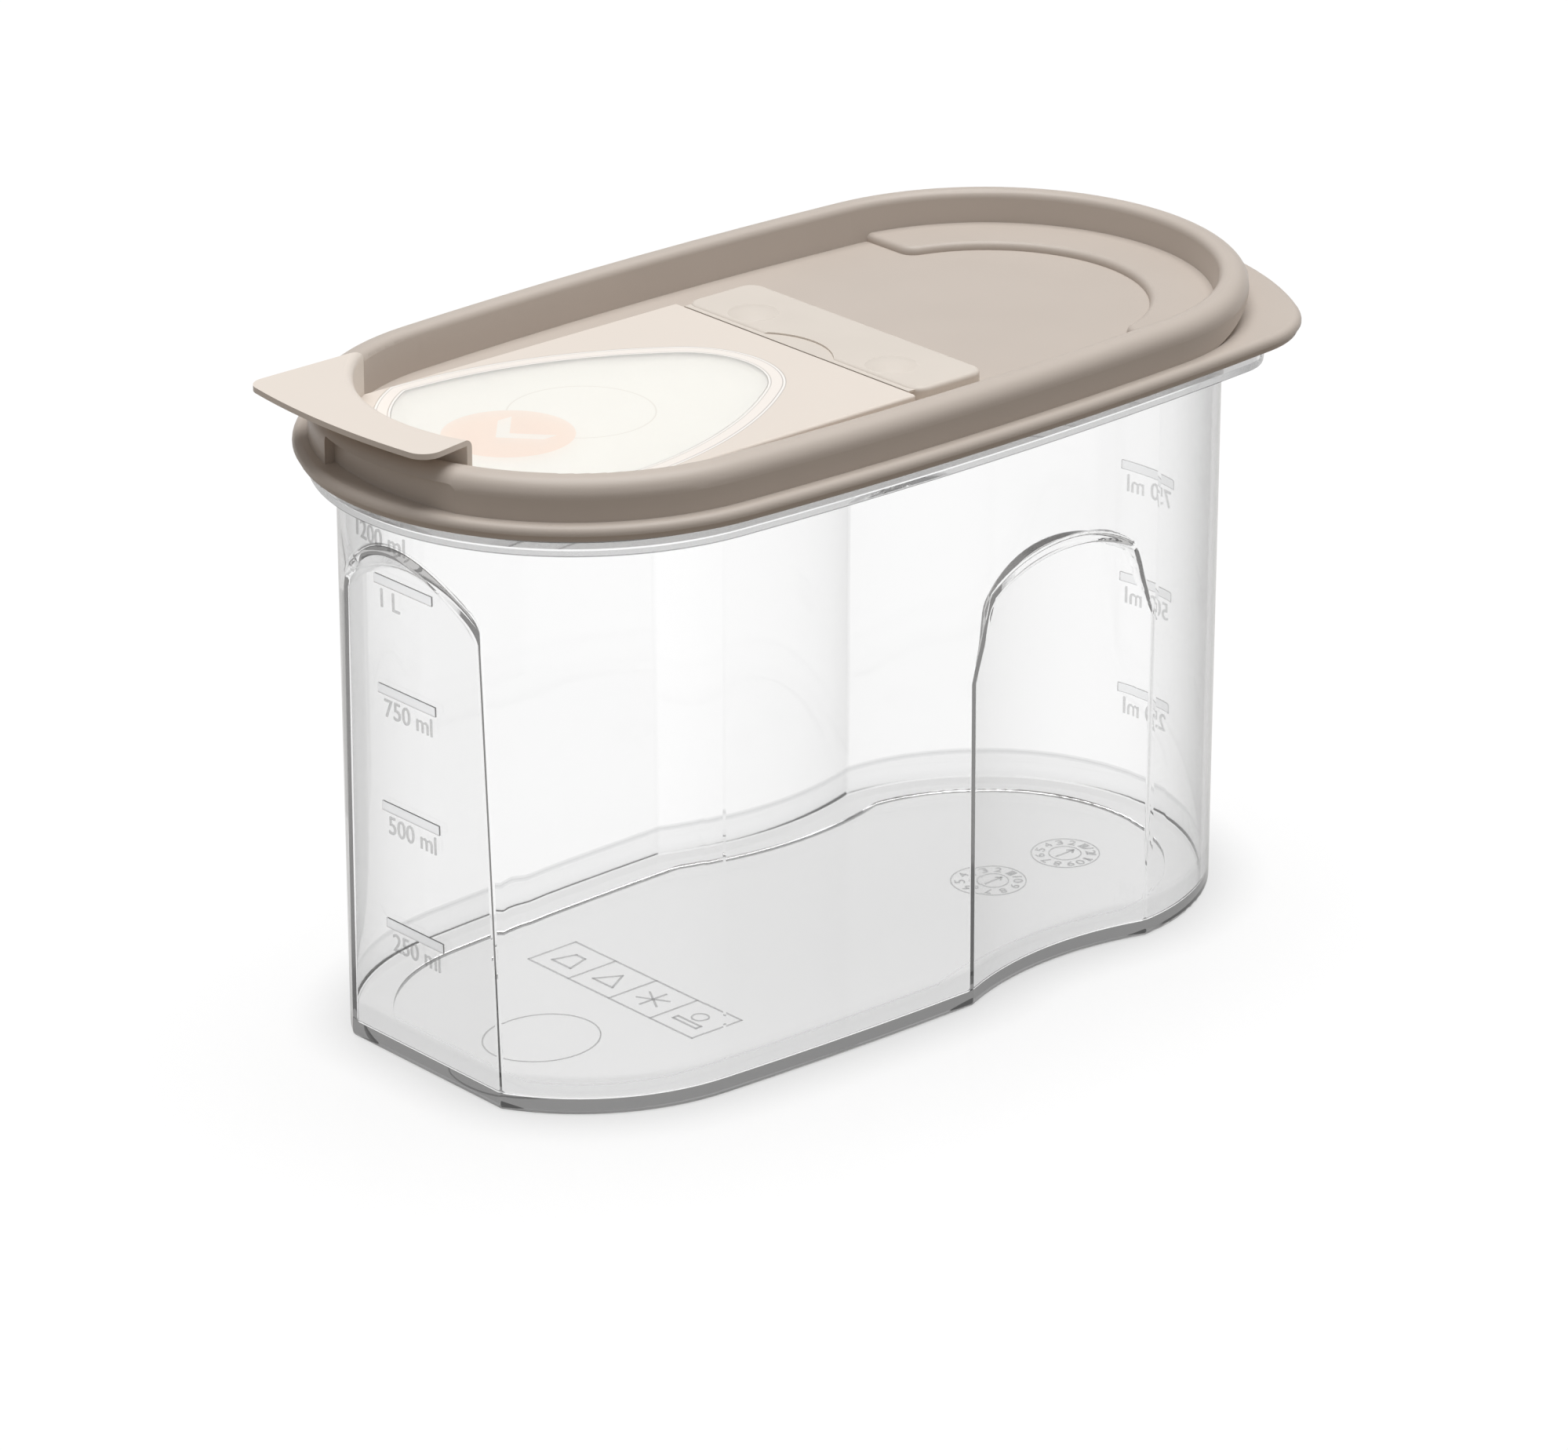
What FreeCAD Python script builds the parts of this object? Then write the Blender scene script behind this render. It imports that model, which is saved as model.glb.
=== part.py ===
import FreeCAD, Part
import math
import os

Vector = FreeCAD.Vector

# Storage canister: clear container, opaque lid, translucent pour flap on a moulded hinge
# Long axis along X, pour end at -X, pull tab at +X, base on Z = 0, origin at the base's centre

# Plan shape shared by every oval: two end arcs joined by gently bowed sides
end_centre = 47.3
side_bow = 1.6

# How far cutting tools run past the material, and the tolerance for picking edges
cut_overrun = 5.0
pick_tolerance = 0.01

# Container walls and floor
wall = 1.4
base_end_radius = 40.6
wall_draft = 0.3
floor_top = 2.4
floor_corner_radius = 0.8
floor_panel_inset = 8.0
floor_panel_step = 0.8
base_edge_radius = 0.8

# Container rim: a flange with an upright band round its edge, squared at the pull tab's end
flange_bottom = 102.8
flange_thickness = 1.3
band_height = 2.0
band_thickness = 1.0
rim_overhang = 4.75
rim_flatness = 8.85
rim_corner_radius = 10.0
rim_edge_radius = 0.5

# Flat panel on the pour end of the container
panel_depth = 5.2
panel_lean = 1.0
panel_shoulder_drop = 20.7
panel_arch_rise = 9.9

# Finger scoops on the long sides, and the rounding of their edges and the panel's
scoop_start = 5.6
scoop_length = 43.2
scoop_depth = 3.9
scoop_shoulder_drop = 37.3
scoop_arch_rise = 14.0
scoop_arch_margin = 0.8
recess_edge_radius = 1.0

# Moulded scale bars: how far their top edges lie below the flange, on the panel and on the far end
panel_scale_drops = (13.3, 33.2, 54.8, 76.6)
far_scale_drops = (35.2, 57.0, 78.8)
scale_bar_length = 15.2
scale_bar_shift = 1.4
scale_bar_height = 1.7
scale_bar_relief = 0.3

# Lid ledge and pull tab
ledge_gap = 0.2
ledge_thickness = 2.6
ledge_overhang = 2.4
ledge_edge_radius = 1.4
ledge_step_height = 1.1
ledge_step_inset = 0.6
tab_reach = 2.55
tab_flatness = 19.95
tab_corner_radius = 21.0

# Skirt under the lid, inside the container's mouth
plug_clearance = 0.3
plug_thickness = 1.4
plug_depth = 1.0

# Lid ridge and deck
deck_thickness = 1.5
ledge_width = 2.65
ridge_width = 5.2
ridge_draft = 1.1
ridge_rise = 7.0
ridge_outer_round = 3.2
ridge_inner_round = 1.5
ridge_wall = 1.1
ridge_outer_wall = 3.1

# Recesses in the outside of the ridge: over the pull tab and under the flap's lip
recess_bead = 2.1
tab_recess_depth = 1.2
tab_recess_half_width = 43.5
tab_recess_arch = 10.4
lip_recess_depth = 2.1
lip_recess_radius = 60.0
lip_recess_turn = 10.0
lip_recess_start = 13.7

# Raised crescent at the far end of the deck
crescent_setback = 5.7
crescent_width = 11.1
crescent_rise = 1.4
crescent_corner_radius = 3.0
crescent_edge_radius = 1.2

# Pour opening and the plug that closes it: a bullet shape, nose toward the hinge
nose_centre = 24.4
nose_radius = 17.5
plug_end_gap = 3.3
plug_corner_reach = 15.7
opening_clearance = 0.4
skirt_thickness = 1.2
skirt_depth = 1.8

# Flap: a shallow tray turned upside down, with a finger lip on a riser
flap_rise = 2.3
flap_thickness = 1.2
flap_edge_thickness = 1.2
flap_overhang = 0.8
flap_clearance = 0.4
flap_edge_radius = 0.5
hinge_line = 1.1
hinge_gap = 0.2
riser_thickness = 1.2
lip_rise = 3.3
lip_thickness = 1.0
lip_back_gap = 0.2
lip_front = 14.4
lip_front_flare = 2.0
lip_overhang = 0.5
lip_bow = 2.0
lip_corner_radius = 3.5
lip_bend_radius = 1.6

# Hinge strip: the fixed half of the flap moulding, sitting on two studs of the lid
strip_rise = 2.6
strip_length = 16.2
strip_half_width = 30.2
strip_corner_radius = 3.0
strip_edge_radius = 0.8
film_width = 0.8
film_thickness = 0.4
film_end_gap = 1.2
slot_half_length = 10.0
slot_depth = 4.4
stud_setback = 5.4
stud_across = 17.8
stud_diameter = 4.0
stud_cover = 0.3
stud_clearance = 0.1
dome_diameter = 9.0
dome_rise = 0.9

# Heights that follow from those above
flange_top = flange_bottom + flange_thickness
band_top = flange_top + band_height
ledge_bottom = band_top + ledge_gap
deck_top = ledge_bottom + ledge_thickness
deck_bottom = deck_top - deck_thickness
ridge_top = deck_top + ridge_rise
recess_top = ridge_top - recess_bead
flap_top = deck_top + flap_rise
lip_top = ridge_top + lip_rise
strip_top = deck_top + strip_rise
stud_rise = strip_rise - stud_cover - stud_clearance
panel_shoulder_height = flange_bottom - panel_shoulder_drop
scoop_shoulder_height = flange_bottom - scoop_shoulder_drop

# Plan sizes that follow from those above
side_centre = (end_centre**2 - side_bow**2) / (2 * side_bow)
centre_spacing = side_centre + side_bow
mouth_end_radius = base_end_radius + wall_draft
mouth_inner_radius = mouth_end_radius - wall
base_inner_radius = base_end_radius - wall
rim_end_radius = mouth_end_radius + rim_overhang
rim_tip = end_centre + rim_end_radius
ledge_end_radius = rim_end_radius + ledge_overhang
tab_tip = end_centre + ledge_end_radius + tab_reach
panel_plane = end_centre + base_end_radius - panel_depth
panel_half_width = math.sqrt(base_end_radius**2 - (base_end_radius - panel_depth)**2)
plug_outer_radius = mouth_inner_radius - plug_clearance
ridge_outer_radius = ledge_end_radius - ledge_width
ridge_inner_radius = ridge_outer_radius - ridge_width
ridge_foot_radius = ridge_inner_radius - ridge_draft
crescent_start = end_centre + crescent_setback
crescent_radius = ridge_foot_radius - crescent_width
riser_radius = ridge_foot_radius - flap_clearance
riser_inner_radius = riser_radius - riser_thickness
plug_end_radius = riser_inner_radius - plug_end_gap
plug_wide_point = end_centre + plug_corner_reach
plug_half_width = math.sqrt(plug_end_radius**2 - plug_corner_reach**2)
flap_half_width = plug_half_width + flap_overhang
lip_back = flap_half_width - lip_back_gap
lip_side_reach = end_centre + ridge_outer_radius + lip_overhang
lip_middle_reach = lip_side_reach + lip_bow
hinge_edge = hinge_line + hinge_gap
strip_near_edge = hinge_edge + film_width
film_half_width = strip_half_width - film_end_gap
stud_along = strip_near_edge + stud_setback


def arc(first, middle, last):
    return Part.Arc(first, middle, last).toShape()


def line(first, last):
    return Part.LineSegment(first, last).toShape()


def mirrored(point):
    return Vector(point.x, -point.y, point.z)


def prism(wire, height):
    return Part.Face(wire).extrude(Vector(0, 0, height))


def circles_meet(first, first_radius, second, second_radius, turn):
    # Where two circles in plan cross; turn picks the crossing left or right of the line of centres
    apart = second - first
    gap = apart.Length
    along = (gap**2 + first_radius**2 - second_radius**2) / (2 * gap)
    across = math.sqrt(first_radius**2 - along**2)
    unit = apart * (1 / gap)
    return first + unit * along + Vector(-unit.y, unit.x, 0) * (turn * across)


def toward(start, goal):
    return (goal - start).normalize()


def at_height(points, height):
    return [point + Vector(0, 0, height) for point in points]


def symmetric_edges(half, height):
    # half lists start, middle, end, middle, end and so on of arcs on the +Y side, copied to the -Y side
    points = at_height(half, height)
    edges = [arc(*points[i:i + 3]) for i in range(0, len(points) - 2, 2)]
    edges += [arc(*[mirrored(point) for point in points[i:i + 3]]) for i in range(0, len(points) - 2, 2)]
    return edges


def axis_arc(start, tip, height):
    # An arc from a point on the +Y side, over the X axis at tip, to the mirrored point
    lifted = start + Vector(0, 0, height)
    return arc(lifted, Vector(tip, 0, height), mirrored(lifted))


def oval(end_radius, height):
    share = end_radius / centre_spacing
    joint = Vector(end_centre * (1 + share), side_centre * share, 0)
    far_joint = Vector(-joint.x, joint.y, 0)
    edges = symmetric_edges([joint, Vector(0, end_radius + side_bow, 0), far_joint], height)
    edges.append(axis_arc(joint, end_centre + end_radius, height))
    edges.append(axis_arc(far_joint, -end_centre - end_radius, height))
    return Part.Wire(Part.__sortEdges__(edges))


def oval_prism(end_radius, bottom, top):
    return prism(oval(end_radius, bottom), top - bottom)


def oval_ring(outer_radius, inner_radius, bottom, top):
    return oval_prism(outer_radius, bottom, top).cut(oval_prism(inner_radius, bottom, top))


def oval_taper(low_radius, high_radius, bottom, top):
    return Part.makeLoft([oval(low_radius, bottom), oval(high_radius, top)], True, True)


def drawn_oval(end_radius, tip, flatness, corner_radius, inset, height):
    # An oval whose +X end is drawn out to a flatter arc with rounded corners
    tip_radius = end_radius + flatness
    side_point = Vector(0, -side_centre, 0)
    tip_point = Vector(tip - tip_radius, 0, 0)
    side_reach = end_radius + centre_spacing - corner_radius
    corner = circles_meet(side_point, side_reach, tip_point, tip_radius - corner_radius, -1)
    from_side = toward(side_point, corner)
    from_tip = toward(tip_point, corner)
    bend = corner_radius - inset
    near_radius = end_radius - inset
    share = near_radius / centre_spacing
    near = Vector(-end_centre * (1 + share), side_centre * share, 0)
    side_end = corner + from_side * bend
    tip_end = corner + from_tip * bend
    on_corner = corner + (from_side + from_tip).normalize() * bend
    half = [near, Vector(0, near_radius + side_bow, 0), side_end, on_corner, tip_end]
    edges = symmetric_edges(half, height)
    edges.append(axis_arc(tip_end, tip - inset, height))
    edges.append(axis_arc(near, -end_centre - near_radius, height))
    return Part.Wire(Part.__sortEdges__(edges))


def ledge_prism(inset, bottom, top):
    outline = drawn_oval(ledge_end_radius, tab_tip, tab_flatness, tab_corner_radius, inset, bottom)
    return prism(outline, top - bottom)


def rim_prism(inset, bottom, top):
    outline = drawn_oval(rim_end_radius, rim_tip, rim_flatness, rim_corner_radius, inset, bottom)
    return prism(outline, top - bottom)


def without(shape, tools):
    for tool in tools:
        shape = shape.cut(tool)
    return shape


def edges_at(shape, height):
    # Edges lying flat at one height
    return [edge for edge in shape.Edges
            if abs(edge.BoundBox.ZMin - height) < pick_tolerance
            and abs(edge.BoundBox.ZMax - height) < pick_tolerance]


def arch_wire(half_width, low, shoulder, rise, place, oval_top=False):
    # A door shape: straight sides up to the shoulder, then a circular or half-oval top;
    # place maps (across, height) to a point
    corners = [place(-half_width, low), place(half_width, low)]
    corners += [place(half_width, shoulder), place(-half_width, shoulder)]
    crown = place(0, shoulder + rise)
    if oval_top:
        ellipse = Part.Ellipse(corners[2], crown, place(0, shoulder))
        top = Part.ArcOfEllipse(ellipse, 0, math.pi).toShape()
    else:
        top = arc(corners[2], crown, corners[3])
    sides = [line(corners[0], corners[1]), line(corners[1], corners[2]), top, line(corners[3], corners[0])]
    return Part.Wire(sides)


def leaning(shape):
    # Tips a shape built on the upright panel plane outward about its foot
    shape.rotate(Vector(-panel_plane, 0, 0), Vector(0, 1, 0), -panel_lean)
    return shape


def panel_tool(margin):
    # The flat panel's cutter, with an arched top that slopes outward as steeply as it rises
    reach = end_centre + mouth_end_radius - panel_plane + cut_overrun
    wires = []
    for out in (-margin, reach):
        grow = margin + (out + margin)
        wires.append(arch_wire(panel_half_width + margin, -cut_overrun, panel_shoulder_height,
                               panel_arch_rise + grow,
                               lambda across, height: Vector(-panel_plane - out, across, height)))
    return leaning(Part.makeLoft(wires, True, True))


def wall_line(along):
    # How far the container's side stands from the X axis at its base
    return math.sqrt((centre_spacing + base_end_radius)**2 - along**2) - side_centre


def scoop_tool(margin, side):
    # A vertical cylinder that meets the wall at the scoop's two ends, trimmed to an arched outline
    start = Vector(scoop_start, wall_line(scoop_start), 0)
    end = Vector(scoop_start + scoop_length, wall_line(scoop_start + scoop_length), 0)
    chord = end - start
    radius = (chord.Length**2 / 4 + scoop_depth**2) / (2 * scoop_depth)
    outward = Vector(-chord.y, chord.x, 0).normalize()
    centre = start + chord / 2 + outward * (radius - scoop_depth)
    bore = Part.makeCylinder(radius + margin, flange_bottom, Vector(centre.x, side * centre.y, -cut_overrun))
    side_point = Vector(0, -side_centre, 0)
    side_radius = centre_spacing + base_end_radius - margin
    ends = [circles_meet(side_point, side_radius, centre, radius + margin, turn).x for turn in (1, -1)]
    half_width = abs(ends[0] - ends[1]) / 2 + scoop_arch_margin
    middle = scoop_start + scoop_length / 2
    outline = arch_wire(half_width, -cut_overrun, scoop_shoulder_height, scoop_arch_rise + margin,
                        lambda across, height: Vector(middle + across, 0, height), True)
    return bore.common(Part.Face(outline).extrude(Vector(0, side * radius, 0)))


def recess_tools(margin):
    return [panel_tool(margin), scoop_tool(margin, 1), scoop_tool(margin, -1)]


def panel_bar(drop):
    across = scale_bar_shift - scale_bar_length / 2
    low = Vector(-panel_plane - scale_bar_relief, across, flange_bottom - drop - scale_bar_height)
    return leaning(Part.makeBox(scale_bar_relief + wall / 2, scale_bar_length, scale_bar_height, low))


def far_bar(drop):
    # Follows the round end wall
    core = oval_prism(base_end_radius - wall / 2, 0, flange_bottom)
    proud_base = base_end_radius + scale_bar_relief
    proud = oval_taper(proud_base, proud_base + wall_draft, 0, flange_bottom)
    low = Vector(end_centre, -scale_bar_length / 2, flange_bottom - drop - scale_bar_height)
    return proud.cut(core).common(Part.makeBox(tab_tip, scale_bar_length, scale_bar_height, low))


def recess_edges(shape):
    # The edges that the panel and the scoops leave in a wall, without the wall's own seams and rims
    return [edge for edge in shape.Edges
            if edge.BoundBox.ZLength > pick_tolerance
            and edge.BoundBox.ZMax < flange_bottom]


def recessed(low_radius, high_radius, bottom, margin, foot_radius):
    # A tapered oval up to the flange with the panel and scoops cut in, rounded at those edges and its foot
    body = without(oval_taper(low_radius, high_radius, bottom, flange_top), recess_tools(margin))
    body = body.makeFillet(recess_edge_radius, recess_edges(body))
    return body.makeFillet(foot_radius, edges_at(body, bottom))


def make_rim():
    rim = rim_prism(0, flange_bottom, band_top)
    rim = rim.makeFillet(rim_edge_radius, edges_at(rim, flange_bottom))
    rim = rim.cut(rim_prism(band_thickness, flange_top, band_top))
    return rim.cut(oval_prism(mouth_inner_radius, flange_bottom, flange_top))


def make_container():
    shell = recessed(base_end_radius, mouth_end_radius, 0, 0, base_edge_radius)
    hollow = recessed(base_inner_radius, mouth_inner_radius, floor_top, wall, floor_corner_radius)
    panel = oval_prism(base_end_radius - floor_panel_inset, floor_top - floor_panel_step, floor_top)
    shell = shell.cut(hollow).cut(without(panel, recess_tools(floor_panel_inset)))
    shell = shell.fuse(make_rim())
    for drop in panel_scale_drops:
        shell = shell.fuse(panel_bar(drop))
    for drop in far_scale_drops:
        shell = shell.fuse(far_bar(drop))
    return shell.removeSplitter()


def bullet(inset):
    # The plug's plan, nose toward the hinge, closed by an arc about the lid's end centre
    nose = Vector(-nose_centre, 0, 0)
    nose_gap = plug_wide_point - nose_centre
    radius = (nose_gap**2 + plug_half_width**2 - nose_radius**2) / (2 * (plug_half_width - nose_radius))
    side = Vector(-plug_wide_point, plug_half_width - radius, 0)
    end = Vector(-end_centre, 0, 0)
    join = nose + toward(side, nose) * (nose_radius - inset)
    corner = circles_meet(end, plug_end_radius - inset, side, radius - inset, -1)
    middle_way = toward(side, (join + corner) * (1 / 2))
    half = [join, side + middle_way * (radius - inset), corner]
    return half, nose_radius - inset - nose_centre, inset - end_centre - plug_end_radius


def bullet_prism(inset, bottom, top):
    half, nose_tip, end_tip = bullet(inset)
    edges = symmetric_edges(half, bottom)
    edges.append(axis_arc(half[0], nose_tip, bottom))
    edges.append(axis_arc(half[-1], end_tip, bottom))
    return prism(Part.Wire(Part.__sortEdges__(edges)), top - bottom)


def tab_recess():
    # An arched bite out of the ridge's outer wall over the pull tab, flat where it meets the bead
    inner_radius = ridge_outer_radius - tab_recess_depth
    ring = oval_ring(ridge_outer_radius + cut_overrun, inner_radius, deck_top, recess_top)
    outline = arch_wire(tab_recess_half_width, -cut_overrun, deck_top, tab_recess_arch,
                        lambda across, height: Vector(end_centre, across, height))
    return ring.common(Part.Face(outline).extrude(Vector(tab_tip, 0, 0)))


def lip_recess():
    # A bite out of the ridge's outer wall under the lip, with a step at one end, fading out at the other
    height = recess_top - deck_top
    centre = Vector(-end_centre, 0, deck_top)
    turn = math.radians(lip_recess_turn)
    setback = lip_recess_radius - ridge_outer_radius + lip_recess_depth
    floor_centre = centre + Vector(math.cos(turn), -math.sin(turn), 0) * setback
    bite = Part.makeCylinder(ridge_outer_radius + cut_overrun, height, centre)
    bite = bite.cut(Part.makeCylinder(lip_recess_radius, height, floor_centre))
    corner = Vector(-end_centre - lip_middle_reach, lip_recess_start - end_centre, deck_top)
    return bite.common(Part.makeBox(lip_middle_reach, end_centre, height, corner))


def make_crescent():
    rise = deck_top + crescent_rise
    ring = oval_prism(ridge_inner_radius, deck_bottom, rise)
    well = Part.makeCylinder(crescent_radius, ridge_top, Vector(end_centre, 0, 0))
    reach = Part.makeBox(tab_tip, tab_tip * 2, ridge_top, Vector(crescent_start, -tab_tip, 0))
    crescent = ring.cut(well).common(reach)
    corners = [edge for edge in crescent.Edges
               if abs(edge.BoundBox.XMax - crescent_start) < pick_tolerance
               and edge.BoundBox.YLength < pick_tolerance
               and abs(edge.BoundBox.Center.y) < crescent_radius]
    crescent = crescent.makeFillet(crescent_corner_radius, corners)
    inner = [edge for edge in edges_at(crescent, rise)
             if edge.BoundBox.XMin < end_centre + crescent_radius
             and edge.BoundBox.XMax < end_centre + crescent_radius + pick_tolerance
             and edge.BoundBox.YLength > pick_tolerance]
    return crescent.makeFillet(crescent_edge_radius, inner)


def make_lid():
    step_top = ledge_bottom + ledge_step_height
    lid = ledge_prism(0, step_top, deck_top)
    lid = lid.makeFillet(ledge_edge_radius, edges_at(lid, deck_top))
    lid = lid.fuse(ledge_prism(ledge_step_inset, ledge_bottom, step_top))
    ridge = oval_prism(ridge_outer_radius, ledge_bottom, ridge_top)
    ridge = ridge.makeFillet(ridge_outer_round, edges_at(ridge, ridge_top))
    ridge = ridge.cut(tab_recess()).cut(lip_recess())
    basin = oval_taper(ridge_foot_radius, ridge_inner_radius, deck_top, ridge_top)
    lid = lid.fuse(ridge).cut(basin)
    inner_reach = end_centre + ridge_inner_radius + pick_tolerance
    inner_edges = [edge for edge in edges_at(lid, ridge_top) if edge.BoundBox.XMax < inner_reach]
    lid = lid.makeFillet(ridge_inner_round, inner_edges)
    channel_outer = ridge_outer_radius - ridge_outer_wall
    channel_inner = ridge_inner_radius + ridge_wall
    lid = lid.cut(oval_ring(channel_outer, channel_inner, ledge_bottom, ridge_top - ridge_wall))
    lid = lid.cut(oval_prism(plug_outer_radius, ledge_bottom, deck_bottom))
    plug_bottom = flange_top - plug_depth
    plug_inner_radius = plug_outer_radius - plug_thickness
    lid = lid.fuse(oval_ring(plug_outer_radius, plug_inner_radius, plug_bottom, deck_bottom))
    lid = lid.fuse(make_crescent())
    lid = lid.cut(bullet_prism(-opening_clearance, ledge_bottom, deck_top))
    for side in (1, -1):
        foot = Vector(stud_along, side * stud_across, deck_bottom)
        lid = lid.fuse(Part.makeCylinder(stud_diameter / 2, deck_thickness + stud_rise, foot))
    return lid.removeSplitter()


def flap_prism(inset, bottom, top):
    radius = riser_radius - inset
    half_width = flap_half_width - inset
    near_edge = hinge_line - hinge_gap - inset
    corner = Vector(-end_centre - math.sqrt(radius**2 - half_width**2), half_width, bottom)
    start = Vector(near_edge, half_width, bottom)
    tip = Vector(-end_centre - radius, 0, bottom)
    edges = [line(start, corner), arc(corner, tip, mirrored(corner))]
    edges += [line(mirrored(corner), mirrored(start)), line(mirrored(start), start)]
    return prism(Part.Wire(edges), top - bottom)


def inside_riser(across, height):
    return Vector(-end_centre - math.sqrt(riser_inner_radius**2 - across**2), across, height)


def lip_prism(bottom, top):
    # The finger lip's plan: straight sides, an outer edge with a slight bow, an inner edge along the riser
    inner_back = inside_riser(lip_back, bottom)
    inner_front = inside_riser(-lip_front, bottom)
    inner_middle = inside_riser((lip_back - lip_front) / 2, bottom)
    outer_back = Vector(-lip_side_reach, lip_back, bottom)
    outer_front = Vector(-lip_side_reach, -lip_front - lip_front_flare, bottom)
    outer_middle = Vector(-lip_middle_reach, (lip_back - lip_front - lip_front_flare) / 2, bottom)
    edges = [arc(inner_back, inner_middle, inner_front), line(inner_front, outer_front)]
    edges += [arc(outer_front, outer_middle, outer_back), line(outer_back, inner_back)]
    return prism(Part.Wire(edges), top - bottom)


def make_lip():
    foot = flap_top - flap_thickness
    lip = lip_prism(foot, lip_top)
    riser = Part.makeCylinder(riser_radius, lip_top, Vector(-end_centre, 0, 0))
    lip = lip.cut(lip_prism(foot, lip_top - lip_thickness).cut(riser))
    corners = [edge for edge in lip.Edges
               if edge.BoundBox.XMax < -lip_side_reach + pick_tolerance
               and abs(edge.BoundBox.ZLength - lip_thickness) < pick_tolerance]
    lip = lip.makeFillet(lip_corner_radius, corners)
    bend = [edge for edge in edges_at(lip, lip_top)
            if edge.BoundBox.YLength > lip_back and edge.BoundBox.XMax > -end_centre - riser_radius]
    bend = [edge for edge in bend if edge.BoundBox.XMin > -lip_side_reach]
    return lip.makeFillet(lip_bend_radius, bend)


def make_flap():
    flap = flap_prism(0, deck_top, flap_top)
    rounded = [edge for edge in edges_at(flap, flap_top) if edge.BoundBox.XLength > pick_tolerance]
    flap = flap.makeFillet(flap_edge_radius, rounded)
    flap = flap.cut(flap_prism(flap_edge_thickness, deck_top, flap_top - flap_thickness))
    skirt = bullet_prism(0, deck_top - skirt_depth, flap_top - flap_thickness)
    skirt = skirt.cut(bullet_prism(skirt_thickness, deck_top - skirt_depth, flap_top - flap_thickness))
    return flap.fuse(skirt).fuse(make_lip()).removeSplitter()


def make_strip():
    start = Vector(strip_near_edge, -strip_half_width, deck_top)
    strip = Part.makeBox(strip_length, strip_half_width * 2, strip_rise, start)
    upright = [edge for edge in strip.Edges if edge.BoundBox.ZLength > strip_rise - pick_tolerance]
    strip = strip.makeFillet(strip_corner_radius, upright)
    strip = strip.makeFillet(strip_edge_radius, edges_at(strip, strip_top))
    film_start = Vector(hinge_edge, -film_half_width, flap_top - film_thickness)
    film = Part.makeBox(film_width + slot_depth, film_half_width * 2, film_thickness, film_start)
    points = [Vector(hinge_edge, slot_half_length, 0), Vector(hinge_edge + slot_depth, 0, 0)]
    points.append(mirrored(points[0]))
    slot = prism(Part.Wire([arc(*points), line(points[2], points[0])]), ridge_top)
    strip = strip.cut(slot).fuse(film)
    dome_radius = ((dome_diameter / 2)**2 + dome_rise**2) / (2 * dome_rise)
    for side in (1, -1):
        centre = Vector(stud_along, side * stud_across, strip_top + dome_rise - dome_radius)
        cap = Part.makeSphere(dome_radius, centre)
        keep = Part.makeCylinder(dome_diameter / 2, dome_rise + strip_edge_radius,
                                 Vector(centre.x, centre.y, strip_top - strip_edge_radius))
        strip = strip.fuse(cap.common(keep))
    for side in (1, -1):
        foot = Vector(stud_along, side * stud_across, deck_top)
        bore_radius = stud_diameter / 2 + stud_clearance
        strip = strip.cut(Part.makeCylinder(bore_radius, stud_rise + stud_clearance, foot))
    return strip.removeSplitter()


os.makedirs("parts", exist_ok=True)
pieces = {"container": make_container(), "lid": make_lid()}
pieces.update({"pour_flap": make_flap(), "hinge_strip": make_strip()})
for name, piece in pieces.items():
    print(name, piece.isValid(), len(piece.Solids), round(piece.Volume))
    piece.exportStep("parts/" + name + ".step")
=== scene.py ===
import bpy, bmesh, math
from mathutils import Matrix, Vector


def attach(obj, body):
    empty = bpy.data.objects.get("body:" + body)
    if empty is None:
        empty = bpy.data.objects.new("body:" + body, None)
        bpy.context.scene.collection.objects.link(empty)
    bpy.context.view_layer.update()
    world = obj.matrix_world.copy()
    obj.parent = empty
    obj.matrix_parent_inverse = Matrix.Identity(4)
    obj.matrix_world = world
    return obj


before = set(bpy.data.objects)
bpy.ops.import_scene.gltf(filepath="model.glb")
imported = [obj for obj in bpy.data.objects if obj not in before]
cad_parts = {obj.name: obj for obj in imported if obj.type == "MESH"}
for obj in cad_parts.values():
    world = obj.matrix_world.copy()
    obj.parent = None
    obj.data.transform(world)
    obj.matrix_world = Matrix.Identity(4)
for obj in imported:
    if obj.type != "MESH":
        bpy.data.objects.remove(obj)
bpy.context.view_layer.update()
mm = 0.001
print("frame loaded")


def colour(red, green, blue):
    def linear(value):
        value /= 255
        return value / 12.92 if value <= 0.04045 else ((value + 0.055) / 1.055) ** 2.4
    return (linear(red), linear(green), linear(blue), 1.0)


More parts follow.
